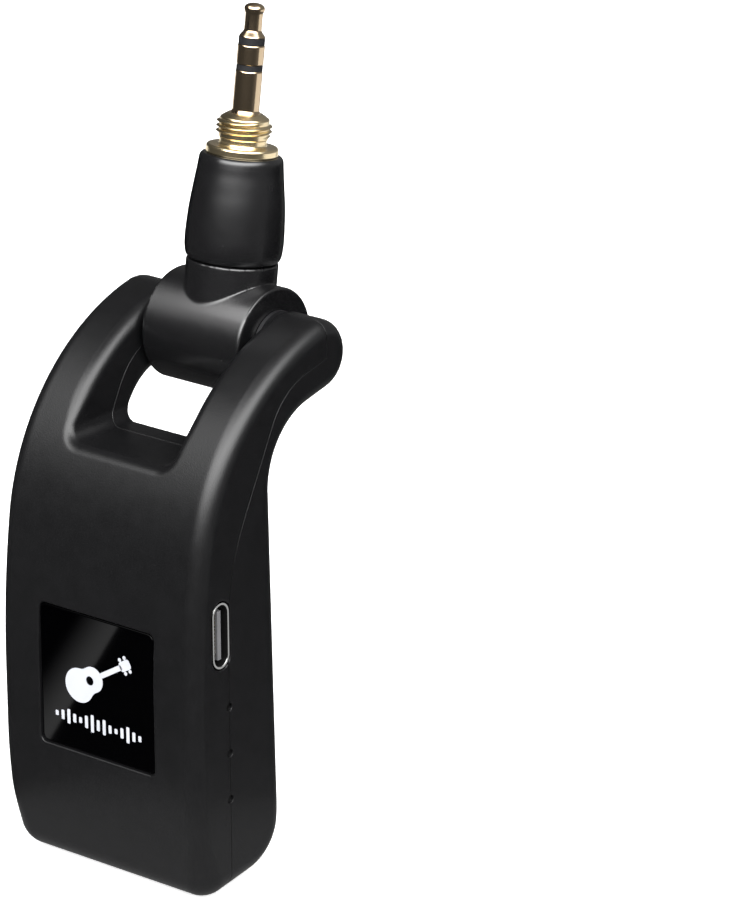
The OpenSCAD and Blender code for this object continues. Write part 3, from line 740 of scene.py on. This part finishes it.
step = 0.19
verts, faces = contour(knuckle, lines(-8.6, 8.6, step),
                       lines(HINGE_Y - 8.2, HINGE_Y + 9.4, step),
                       lines(HINGE_Z - 8.2, HINGE_Z + 12.6, step))
make("knuckle_body", verts, faces, ARM_PLASTIC, "plug_arm", ("knuckle",))

# ---------------------------------------------------------------- plug

# Barrel from its lower edge to the rounded upper one, as (radius, distance from hinge)
rim = [(6.02, 9.92), (6.16, 10.2), (6.31, 11), (6.38, 12.2), (6.35, 13.4), (6.28, 14.8),
       (6.19, 16.1), (6.06, 17.4), (5.9, 18.7), (5.74, 20), (5.58, 21.2), (5.46, 22.3),
       (5.38, 22.8), (5.22, 23.12), (4.95, 23.3)]
lathe("barrel", [(4.63, 9.75), (5.86, 9.75)] + curve_through(rim, 60)
      + [(2.9, 23.3), (2.9, 21.6), (4.3, 21.6), (4.3, 12.1), (4.63, 12.1)],
      ARM_PLASTIC, ("barrel_sleeve",), angle=40)

# Thread root and crest radius, rise per turn and where the thread starts
ROOT, CREST, LEAD, THREAD_T = 3.2, 3.62, 0.645, 25.73
lathe("collar", [(1.52, 21.6), (2.87, 21.6), (2.87, 23.3), (4.48, 23.3), (4.6, 23.34),
                 (4.66, 23.48), (4.66, 24.12), (4.6, 24.28), (4.45, 24.42), (4.3, 24.45),
                 (3.35, 24.5), (3.12, 24.56), (3.05, 24.7), (3.05, 25.3), (3.12, 25.42),
                 (ROOT, 25.46), (ROOT, 27.86), (3.1, 28.02), (2.6, 28.36), (2.45, 28.44),
                 (2.2, 28.6), (1.52, 28.6)],
      GOLD, ("thread_collar",), angle=35)


def thread():
    """Helical ridge on the collar, fading out at both ends."""
    turns, per_turn, fade_turns = 3, 96, 0.22
    ridge = [(-0.1, -0.3), (0.1, -0.26), (0.8, -0.09), (1.0, 0.0), (0.8, 0.09), (0.1, 0.26),
             (-0.1, 0.3)]
    total = turns * per_turn
    verts, faces = [], []
    for i in range(total + 1):
        fade = min(1, min(i, total - i) / (per_turn * fade_turns))
        along = THREAD_T + i / per_turn * LEAD
        for height, across in ridge:
            r = ROOT + (CREST - ROOT) * (height * fade if height > 0 else height)
            verts.append(about_axis(along + across * (0.4 + 0.6 * fade), r,
                                    2 * math.pi * i / per_turn))
    k = len(ridge)
    for i in range(total):
        for j in range(k):
            n = (j + 1) % k
            faces.append([i * k + j, (i + 1) * k + j, (i + 1) * k + n, i * k + n])
    faces.append(list(range(k)))
    faces.append([total * k + j for j in range(k)][::-1])
    make("collar_thread", verts, faces, GOLD, "plug_arm", (), 40)


thread()

# Pin radius, and distances from the hinge of the tip and of the edges of its bands
PIN_R, TIP = 1.75, 42.7
GAP1, RING, GAP2, CONE = TIP - 8.6, TIP - 7.9, TIP - 5.3, TIP - 4.4
lathe("pin_sleeve", [(1.18, 20.4), (1.5, 20.4), (1.5, 28.6), (1.93, 28.6), (1.9, 28.75),
                     (1.78, 28.9), (PIN_R, 29.0), (PIN_R, GAP1 - 0.2), (PIN_R - 0.05, GAP1 - 0.08),
                     (PIN_R - 0.14, GAP1), (1.18, GAP1)], PIN, ("sleeve_contact",))
lathe("pin_ring", [(0.64, 19.4), (0.84, 19.4), (0.84, RING), (PIN_R - 0.14, RING),
                   (PIN_R - 0.05, RING + 0.07), (PIN_R, RING + 0.18), (PIN_R, GAP2 - 0.18),
                   (PIN_R - 0.05, GAP2 - 0.07), (PIN_R - 0.14, GAP2), (0.64, GAP2)],
      PIN, ("ring_contact",))
lathe("pin_gap_low", [(0.86, 20), (1.15, 20), (1.15, GAP1), (PIN_R - 0.06, GAP1 + 0.01),
                      (PIN_R - 0.06, RING - 0.01), (0.86, RING)],
      RESIN, ("lower_insulator",))
lathe("pin_gap_high", [(0.42, 18.8), (0.62, 18.8), (0.62, GAP2), (PIN_R - 0.06, GAP2 + 0.01),
                       (PIN_R - 0.06, CONE - 0.01), (0.42, CONE)],
      RESIN, ("upper_insulator",))
ball = curve_through([(1.17, TIP - 1.3), (1.25, TIP - 1.12), (1.32, TIP - 0.93),
                      (1.34, TIP - 0.75), (1.24, TIP - 0.45), (0.95, TIP - 0.2),
                      (0.55, TIP - 0.06), (0.02, TIP)], 26)
lathe("pin_tip", [(0, 18.2), (0.4, 18.2), (0.4, CONE), (1.6, CONE), (1.68, CONE + 0.08),
                  (1.64, CONE + 0.2), (1.26, CONE + 0.68), (1.19, CONE + 0.8),
                  (1.15, CONE + 0.95), (1.13, TIP - 2.3), (1.15, TIP - 1.5)] + ball[:-1]
      + [(0, TIP)], PIN, ("tip_contact",), angle=30)

# ---------------------------------------------------------------- port


def lofted(rings):
    """Vertices and faces of a solid through rings of equally many points."""
    n = len(rings[0])
    faces = []
    for i in range(len(rings) - 1):
        for j in range(n):
            k = (j + 1) % n
            faces.append([i * n + j, i * n + k, (i + 1) * n + k, (i + 1) * n + j])
    faces.append(list(range(n))[::-1])
    faces.append([(len(rings) - 1) * n + j for j in range(n)])
    return [point for ring in rings for point in ring], faces


def stadium(inset, n=24):
    """Round-ended outline in the YZ plane around the port, moved inward by inset."""
    r, s = PORT_SHORT / 2 - inset, (PORT_LONG - PORT_SHORT) / 2
    upper = [(r * math.cos(a), s + r * math.sin(a)) for a in np.linspace(0, math.pi, n)]
    return upper + [(-y, -z) for y, z in upper]


def port():
    """Metal shell with a flat rim, rounded on both sides, whose inner wall and floor are near black as painted
    shade.
    """
    back_x, rim_x = port_low[0], port_high[0]
    rows = [(0.0, back_x), (0.0, rim_x - 0.08), (0.05, rim_x), (0.30, rim_x),
            (0.34, rim_x - 0.05), (0.34, back_x + 0.5)]
    rings = [[(x, PORT_Y + y, PORT_Z + z) for y, z in stadium(inset)] for inset, x in rows]
    verts, faces = lofted(rings)
    piece = make("port_rim", verts, faces, NICKEL, "housing", ("port_shell",), 35)
    piece.data.materials.append(PORT_PAINTED_SHADE)
    n = len(rings[0])
    back_face = (len(rings) - 1) * n
    # The inner wall and the floor of the port get the near-black look, painted shade
    for polygon in piece.data.polygons:
        shade_painted = polygon.index >= 4 * n and polygon.index != back_face
        polygon.material_index = int(shade_painted)


port()

# ---------------------------------------------------------------- badge


def round_cornered(half_w, half_h, r, n):
    """Rectangle outline about the origin with corners of radius r."""
    points = []
    for u, v, start in ((1, 1, 0), (-1, 1, 90), (-1, -1, 180), (1, -1, 270)):
        for i in range(n + 1):
            a = math.radians(start + 90 * i / n)
            points.append((u * (half_w - r) + r * math.cos(a), v * (half_h - r) + r * math.sin(a)))
    return points


def badge():
    """Gloss plate with round corners and a rounded front edge."""
    half, corner = BADGE_W / 2, 1.0
    front, back = badge_low[1], badge_high[1]
    rows = [(0, back), (0, front + 0.22), (0.03, front + 0.12), (0.1, front + 0.04), (0.22, front)]
    rings = [[(x, y, BADGE_Z + z)
              for x, z in round_cornered(half - inset, half - inset, corner - inset, 8)]
             for inset, y in rows]
    verts, faces = lofted(rings)
    make("badge_glass", verts, faces, GLOSS, "housing", ("badge_plate",), 12)


badge()

# ---------------------------------------------------------------- prints

PRINT_Y = badge_low[1]
PRINT_T, PRINT_SUNK = 0.03, -0.02


def on_badge(u, v, lift):
    return (u, PRINT_Y - lift, BADGE_Z + v)


def beside_switch(u, v, lift):
    return (-HALF_W + STRIP_DEEP - lift, SWITCH_Y - 0.1 - u, v)


def print_piece(name, shapes, place):
    """Thin printed shapes; each is (outer loop, inner loop or None) in millimetres."""
    verts, faces = [], []
    for loop, hole in shapes:
        n = len(loop)
        base = len(verts)
        rings = [loop, loop] + ([hole, hole] if hole else [])
        for ring, lift in zip(rings, (PRINT_SUNK, PRINT_T, PRINT_T, PRINT_SUNK)):
            verts += [place(u, v, lift) for u, v in ring]
        for a, b in [(0, 1)] + ([(1, 2), (2, 3), (3, 0)] if hole else []):
            for j in range(n):
                k = (j + 1) % n
                faces.append([base + a * n + j, base + b * n + j,
                              base + b * n + k, base + a * n + k])
        if not hole:
            faces.append([base + n + j for j in range(n)][::-1])
            faces.append([base + j for j in range(n)])
    make(name, verts, faces, INK, "housing", (), 30)


def disc(u, v, r, n=40):
    angles = [2 * math.pi * i / n for i in range(n)]
    return [(u + r * math.cos(a), v + r * math.sin(a)) for a in angles]


def bar(u, v, w, h):
    """Bar with round corners."""
    r = 0.55 * min(w, h) / 2
    return [(u + x, v + z) for x, z in round_cornered(w / 2, h / 2, r, 5)]


def guitar_shapes():
    """Plain guitar figure: two lobes, a sound hole, a neck and a head."""
    c, s = math.cos(math.radians(31)), math.sin(math.radians(31))
    centre_u, centre_v = -1.9, 0.3
    lobes, blend = [(-1.35, 2.35), (1.25, 1.75)], 0.7
    hole_at, hole_r, far = 0.75, 0.62, 6.0

    def depth(u, v):
        """Distance to the two joined lobes; negative inside."""
        d = [math.hypot(u - at, v) - r for at, r in lobes]
        h = max(blend - abs(d[0] - d[1]), 0) / blend
        return min(d) - h * h * blend / 4

    def turned(points):
        return [(centre_u + u * c - v * s, centre_v + u * s + v * c) for u, v in points]

    loop, n = [], 96
    for i in range(n):
        a = 2 * math.pi * i / n
        low, high = 0.3, far
        for _ in range(40):
            mid = (low + high) / 2
            if depth(hole_at + mid * math.cos(a), mid * math.sin(a)) < 0:
                low = mid
            else:
                high = mid
        loop.append((hole_at + low * math.cos(a), low * math.sin(a)))
    shapes = [(turned(loop), turned(disc(hole_at, 0, hole_r, n))),
              (turned(bar(5.0, 0, 4.1, 0.72)), None),
              (turned(bar(7.75, 0, 1.9, 1.35)), None)]
    pegs = [(u, v) for u in (7.3, 8.2) for v in (-0.95, 0.95)]
    return shapes + [(turned(disc(u, v, 0.26, 20)), None) for u, v in pegs]


# Plain sound bars under the guitar, a millimetre apart
BAR_HEIGHTS = [0.7, 1.3, 2.0, 1.2, 0.8, 1.7, 2.4, 1.5, 2.1, 1.1, 0.7, 1.4, 2.2, 1.3, 0.8]
sound_bars = [(bar(i - 7.0, -5.2, 0.5, h), None) for i, h in enumerate(BAR_HEIGHTS)]
print_piece("badge_print", guitar_shapes() + sound_bars, on_badge)
RING_Z, BAR_Z = 32.6, 25.0
print_piece("switch_marks", [(disc(0, RING_Z, 0.95), disc(0, RING_Z, 0.62)),
                             (bar(0, BAR_Z, 0.42, 2.2), None)], beside_switch)

# ---------------------------------------------------------------- viewpoint

# A long lens, turned and raised as the object was photographed
AZIMUTH, ELEVATION, ROLL = math.radians(38.25), math.radians(20.22), math.radians(-0.22)
SCALE = 1.06
EYE_RIGHT, EYE_UP, EYE_BACK = 33.58 * SCALE, 28.677 * SCALE, 582.92 * SCALE
LENS, SENSOR = 129.5589, 24.0
LEVEL_RIGHT = np.array([math.cos(AZIMUTH), math.sin(AZIMUTH), 0])
LEVEL_UP = np.array([-math.sin(AZIMUTH) * math.sin(ELEVATION),
                     math.cos(AZIMUTH) * math.sin(ELEVATION), math.cos(ELEVATION)])
BACKWARD = np.array([math.sin(AZIMUTH) * math.cos(ELEVATION),
                     -math.cos(AZIMUTH) * math.cos(ELEVATION), math.sin(ELEVATION)])
RIGHT = math.cos(ROLL) * LEVEL_RIGHT + math.sin(ROLL) * LEVEL_UP
UPWARD = -math.sin(ROLL) * LEVEL_RIGHT + math.cos(ROLL) * LEVEL_UP
EYE = (EYE_RIGHT * RIGHT + EYE_UP * UPWARD + EYE_BACK * BACKWARD
       + np.array([0, FRONT_Y, BADGE_Z]))


def mirrored(u, v, away):
    """Where a card in front of the badge shows at (u, v) of the badge to the camera."""
    k = 1 + away / (PRINT_Y - EYE[1])
    back = np.array([EYE[0], 2 * PRINT_Y - EYE[1], EYE[2]])
    return (back + (np.array([u, PRINT_Y, BADGE_Z + v]) - back) * k) * MM


# ---------------------------------------------------------------- stage

# From here on, places and sizes are in metres


def floor_material():
    """Pale and matt, with a little light of its own."""
    m = bpy.data.materials.new("floor_pale")
    m.use_nodes = True
    bsdf = m.node_tree.nodes["Principled BSDF"]
    bsdf.inputs["Base Color"].default_value = (0.86, 0.86, 0.86, 1)
    bsdf.inputs["Roughness"].default_value = 0.9
    bsdf.inputs["Specular IOR Level"].default_value = 0.1
    bsdf.inputs["Emission Color"].default_value = (1, 1, 1, 1)
    bsdf.inputs["Emission Strength"].default_value = 0.62
    return m


def glow(strength):
    """Plain white light from a card."""
    m = bpy.data.materials.new("glow")
    m.use_nodes = True
    tree = m.node_tree
    tree.nodes.clear()
    emission = tree.nodes.new("ShaderNodeEmission")
    output = tree.nodes.new("ShaderNodeOutputMaterial")
    emission.inputs["Strength"].default_value = strength
    tree.links.new(emission.outputs[0], output.inputs["Surface"])
    return m


def card(name, corners, mat):
    """A flat or folded sheet of the stage, not part of the object."""
    mesh = bpy.data.meshes.new(name)
    mesh.from_pydata([tuple(c) for c in corners], [], [list(range(len(corners)))])
    mesh.materials.append(mat)
    obj = bpy.data.objects.new(name, mesh)
    bpy.context.scene.collection.objects.link(obj)
    return obj


def glow_card(name, corners, strength, lit=()):
    """A card seen only in reflections, and only in those of the lit pieces if any are named."""
    obj = card(name, corners, glow(strength))
    obj.visible_camera = False
    obj.visible_shadow = False
    obj.visible_diffuse = False
    if lit:
        group = bpy.data.collections.new(name + "_lit")
        for piece in lit:
            group.objects.link(bpy.data.objects[piece])
        obj.light_linking.receiver_collection = group
    return obj


def area_light(name, direction, distance, size, radiance, centre=(0, 0, 0.055)):
    """A softbox in a direction from the object, of even brightness over its face."""
    data = bpy.data.lights.new(name, "AREA")
    data.shape = "RECTANGLE"
    data.size, data.size_y = size
    data.energy = radiance * math.pi * size[0] * size[1]
    obj = bpy.data.objects.new(name, data)
    bpy.context.scene.collection.objects.link(obj)
    away = Vector(direction).normalized()
    obj.location = Vector(centre) + away * distance
    obj.rotation_euler = (-away).to_track_quat("-Z", "Y").to_euler()


FLOOR_HALF, FLOOR_Z = 6, -0.0002
floor = card("floor", [(-FLOOR_HALF, -FLOOR_HALF, FLOOR_Z), (FLOOR_HALF, -FLOOR_HALF, FLOOR_Z),
                       (FLOOR_HALF, FLOOR_HALF, FLOOR_Z), (-FLOOR_HALF, FLOOR_HALF, FLOOR_Z)],
             floor_material())
floor.visible_glossy = False

# A weak pool under the object, and two curved cards behind it for the metal parts
POOL_X, POOL_Y, POOL_R, POOL_Z = 0.01, -0.012, 0.036, -0.0003
glow_card("floor_glow", [(POOL_X + POOL_R * math.cos(a), POOL_Y + POOL_R * math.sin(a), POOL_Z)
                         for a in np.linspace(0, 2 * math.pi, 32, endpoint=False)], 0.3)
METAL = ["pin_sleeve", "pin_ring", "pin_tip", "collar", "collar_thread", "port_rim"]
BACK_R, BACK_LOW, BACK_HIGH = 0.6, -0.27, 0.04
for start, end in ((112, 176), (184, 262)):
    arc = [math.radians(a) for a in np.linspace(start, end, 12)]
    ring = [(BACK_R * math.sin(a), -BACK_R * math.cos(a)) for a in arc]
    glow_card("back_card", [(x, y, BACK_LOW) for x, y in ring]
              + [(x, y, BACK_HIGH) for x, y in ring[::-1]], 1.1, METAL)

# A card above the left arm for the highlight along the knuckle
glow_card("drum_card", [(-0.034, -0.026, 0.106), (-0.012, -0.026, 0.106),
                        (-0.012, -0.002, 0.122), (-0.034, -0.002, 0.122)], 5.0, ["knuckle_body"])

# ---------------------------------------------------------------- light all round

# A broad bright field above and in front, dark below, white to the camera
KEY_AZ, KEY_EL = math.radians(35), math.radians(50)
world = bpy.data.worlds.new("studio")
bpy.context.scene.world = world
world.use_nodes = True
world_tree = world.node_tree
world_tree.nodes.clear()


def world_node(kind, **values):
    node = world_tree.nodes.new("ShaderNode" + kind)
    for key, value in values.items():
        setattr(node, key, value)
    return node


def fade(value, low, high, start=0.0, end=1.0):
    """Smooth change from start to end as a value goes from low to high."""
    node = world_node("MapRange", interpolation_type="SMOOTHSTEP")
    numbers = {"From Min": low, "From Max": high, "To Min": start, "To Max": end}
    for socket, number in numbers.items():
        node.inputs[socket].default_value = number
    world_tree.links.new(value, node.inputs["Value"])
    return node.outputs["Result"]


def towards(direction):
    """Cosine between the looked-at direction and a fixed one."""
    node = world_node("VectorMath", operation="DOT_PRODUCT")
    node.inputs[1].default_value = direction
    world_tree.links.new(looked_at, node.inputs[0])
    return node.outputs["Value"]


def combined(operation, a, b):
    """Sum or product of two values, each a number or a socket."""
    node = world_node("Math", operation=operation)
    for socket, value in zip(node.inputs, (a, b)):
        if isinstance(value, float):
            socket.default_value = value
        else:
            world_tree.links.new(value, socket)
    return node.outputs[0]


looked_at = world_node("TexCoord").outputs["Generated"]
split = world_node("SeparateXYZ")
world_tree.links.new(looked_at, split.inputs[0])
height = split.outputs["Z"]
key = combined("MULTIPLY", fade(height, 0.19, 0.54), fade(height, 0.72, 0.98, 1.0, 0.05))
sides = fade(towards((math.cos(KEY_EL) * math.sin(KEY_AZ),
                      -math.cos(KEY_EL) * math.cos(KEY_AZ), math.sin(KEY_EL))), 0.36, 0.92)
key = combined("MULTIPLY", combined("MULTIPLY", key, sides), 10.0)
back_fill = fade(towards((0.40, 0.90, 0.17)), 0.0, 1.0, 0.07, 0.30)
fill, seen = world_node("Background"), world_node("Background")
world_tree.links.new(combined("ADD", key, back_fill), fill.inputs["Strength"])
mix, path, world_out = world_node("MixShader"), world_node("LightPath"), world_node("OutputWorld")
world_tree.links.new(path.outputs["Is Camera Ray"], mix.inputs["Fac"])
world_tree.links.new(fill.outputs[0], mix.inputs[1])
world_tree.links.new(seen.outputs[0], mix.inputs[2])
world_tree.links.new(mix.outputs[0], world_out.inputs["Surface"])

area_light("key_box", (0.35, -0.5, 0.8), 0.9, (0.4, 0.4), 1.5)

# ---------------------------------------------------------------- sheen on the badge

# A card whose reflection covers the upper left of the badge, brighter towards its lower edge
SHEEN_AWAY = 90.0
SHEEN_EDGE = [(-1.6, 1.4), (0.66, 1.4), (-1.16, -1.4), (-1.6, -1.4)]
SHEEN_ACROSS = (0.82, 0, -0.57)
half = BADGE_W / 2
sheen = glow_card("sheen_card", [mirrored(u * half, v * half, SHEEN_AWAY) for u, v in SHEEN_EDGE],
                  1.0, ["badge_glass"])
sheen_tree = sheen.data.materials[0].node_tree
across = sheen_tree.nodes.new("ShaderNodeVectorMath")
across.operation = "DOT_PRODUCT"
across.inputs[1].default_value = SHEEN_ACROSS
ramp = sheen_tree.nodes.new("ShaderNodeMapRange")
ramp.interpolation_type = "SMOOTHSTEP"
dim_at = mirrored(-0.62 * half, 0.62 * half, SHEEN_AWAY)
bright_at = mirrored(-0.25 * half, 0, SHEEN_AWAY)
ramp.inputs["From Min"].default_value = float(np.dot(SHEEN_ACROSS, dim_at))
ramp.inputs["From Max"].default_value = float(np.dot(SHEEN_ACROSS, bright_at))
ramp.inputs["To Max"].default_value = 3.8
place = sheen_tree.nodes.new("ShaderNodeTexCoord").outputs["Object"]
sheen_tree.links.new(place, across.inputs[0])
sheen_tree.links.new(across.outputs["Value"], ramp.inputs["Value"])
sheen_tree.links.new(ramp.outputs["Result"], sheen_tree.nodes["Emission"].inputs["Strength"])

# ---------------------------------------------------------------- camera

camera_data = bpy.data.cameras.new("camera")
camera_data.sensor_fit = "VERTICAL"
camera_data.sensor_height = SENSOR
camera_data.lens = LENS
camera = bpy.data.objects.new("camera", camera_data)
bpy.context.scene.collection.objects.link(camera)
placing = Matrix.Identity(4)
for column, axis in enumerate((RIGHT, UPWARD, BACKWARD, EYE * MM)):
    for row in range(3):
        placing[row][column] = axis[row]
camera.matrix_world = placing
bpy.context.scene.camera = camera
bpy.context.scene.view_settings.view_transform = "Standard"
